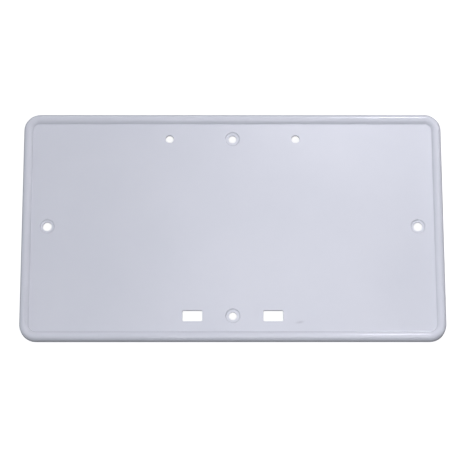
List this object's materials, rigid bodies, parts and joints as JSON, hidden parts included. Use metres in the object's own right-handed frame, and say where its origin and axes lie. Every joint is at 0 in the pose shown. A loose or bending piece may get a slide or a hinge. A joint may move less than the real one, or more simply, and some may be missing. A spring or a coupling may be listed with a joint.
{
  "type": "number plate holder",
  "caption": "Flat moulded tray for a vehicle number plate, with a raised half-round bead all round, sunk screw holes and strap slots.",
  "frame": {"origin": "middle of the back, on the plane that the outer wall stands on", "axes": "+X across the width, +Y towards the edge with the row of three holes, +Z out of the face that takes the plate"},
  "size_m": [0.316, 0.176, 0.0083],
  "materials": {
    "white_plastic": "smooth gloss white with a faint cool tint, as moulded"
  },
  "bodies": {
    "root": {"plate_holder": "white_plastic"}
  },
  "joints": []
}
